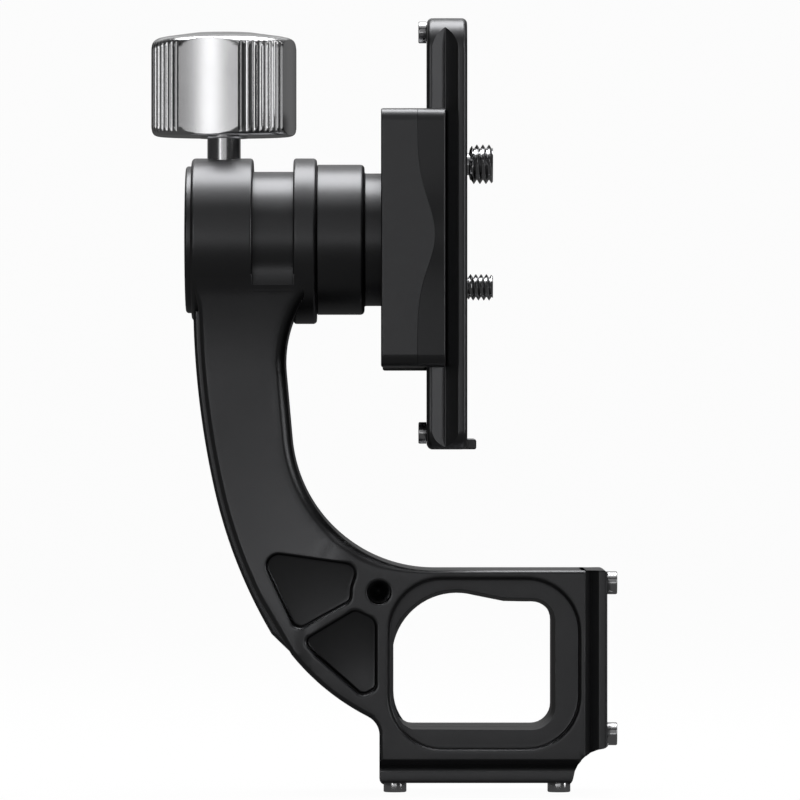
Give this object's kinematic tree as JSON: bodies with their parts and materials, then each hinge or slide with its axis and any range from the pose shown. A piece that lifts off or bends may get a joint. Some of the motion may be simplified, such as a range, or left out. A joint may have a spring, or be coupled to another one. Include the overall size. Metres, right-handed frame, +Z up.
{
  "type": "gimbal tripod head",
  "caption": "Side-mount gimbal head with a C-shaped arm, turning lens clamp with a sliding dovetail plate, locking knob and dovetail feet.",
  "frame": {"origin": "middle of the foot dovetail's underside", "axes": "+Z up from the foot; +X along the tilt axis from the hub to the lens plate; -Y is the face the picture shows"},
  "size_m": [0.1118, 0.0733, 0.185],
  "materials": {
    "black_anodised": "satin black anodised aluminium, edges softly rounded",
    "stainless": "turned stainless steel",
    "knob_steel": "polished stainless steel with cut flutes",
    "bearing_steel": "ground bearing steel",
    "cage_brass": "plain brass",
    "shoe_polymer": "off-white bearing polymer"
  },
  "bodies": {
    "arm": {"arm": "black_anodised", "base_stop_screws": "stainless", "end_cap": "black_anodised", "bearing_outer_rings": "bearing_steel"},
    "spindle": {"spindle_shaft": "stainless", "spindle_sleeve": "black_anodised", "bearing_inner_rings": "bearing_steel", "bearing_spacer": "bearing_steel", "brake_ring": "bearing_steel", "spindle_nut": "stainless", "clamp_body": "black_anodised", "clamp_bolts": "stainless", "jaw_guide_pins": "stainless"},
    "ball_cages": {"bearing_balls": "bearing_steel", "bearing_cages": "cage_brass"},
    "brake_shoe": {"brake_shoe": "shoe_polymer"},
    "knob": {"knob": "knob_steel", "lock_stud": "stainless"},
    "jaw": {"moving_jaw": "black_anodised"},
    "clamp_knob": {"clamp_screw": "stainless", "clamp_washer": "stainless", "clamp_knob": "black_anodised"},
    "plate": {"lens_plate": "black_anodised", "plate_stop_screws": "stainless"},
    "large_washer": {"lens_washer_large": "stainless"},
    "large_screw": {"lens_screw_large": "stainless"},
    "small_washer": {"lens_washer_small": "stainless"},
    "small_screw": {"lens_screw_small": "stainless"}
  },
  "joints": [
    {"name": "tilt", "type": "hinge", "parent": "arm", "child": "spindle", "pos_m": [0, 0, 0.1294], "axis": [1, 0, 0], "continuous": true},
    {"name": "ball_roll", "type": "hinge", "parent": "arm", "child": "ball_cages", "pos_m": [0, 0, 0.1294], "axis": [1, 0, 0], "continuous": true},
    {"name": "brake_press", "type": "slide", "parent": "arm", "child": "brake_shoe", "axis": [0, 0, 1], "range_m": [0, 0.00075]},
    {"name": "lock_turn", "type": "hinge", "parent": "brake_shoe", "child": "knob", "pos_m": [-0.0603, 0, 0.15], "axis": [0, 0, 1], "range_deg": [0, 215]},
    {"name": "jaw_open", "type": "slide", "parent": "spindle", "child": "jaw", "axis": [0, 1, 0], "range_m": [0, 0.00397]},
    {"name": "clamp_turn", "type": "hinge", "parent": "jaw", "child": "clamp_knob", "pos_m": [-0.01719, 0.03, 0.1294], "axis": [0, 1, 0], "range_deg": [0, 1430]},
    {"name": "plate_slide", "type": "slide", "parent": "spindle", "child": "plate", "axis": [0, 0, 1], "range_m": [-0.0155, 0.012]},
    {"name": "large_screw_slide", "type": "slide", "parent": "plate", "child": "large_washer", "axis": [0, 0, 1], "range_m": [-0.006, 0.0185]},
    {"name": "large_screw_turn", "type": "hinge", "parent": "large_washer", "child": "large_screw", "pos_m": [0, 0, 0.1475], "axis": [1, 0, 0], "continuous": true},
    {"name": "small_screw_slide", "type": "slide", "parent": "plate", "child": "small_washer", "axis": [0, 0, 1], "range_m": [-0.0247, 0.0033]},
    {"name": "small_screw_turn", "type": "hinge", "parent": "small_washer", "child": "small_screw", "pos_m": [0, 0, 0.118], "axis": [1, 0, 0], "continuous": true}
  ],
  "couplings": [
    {"joint": "ball_roll", "follows": "tilt", "ratio": 0.4349},
    {"joint": "brake_press", "follows": "lock_turn", "m_per_rad": 0.00019894},
    {"joint": "clamp_turn", "follows": "jaw_open", "rad_per_m": 6283.2}
  ]
}
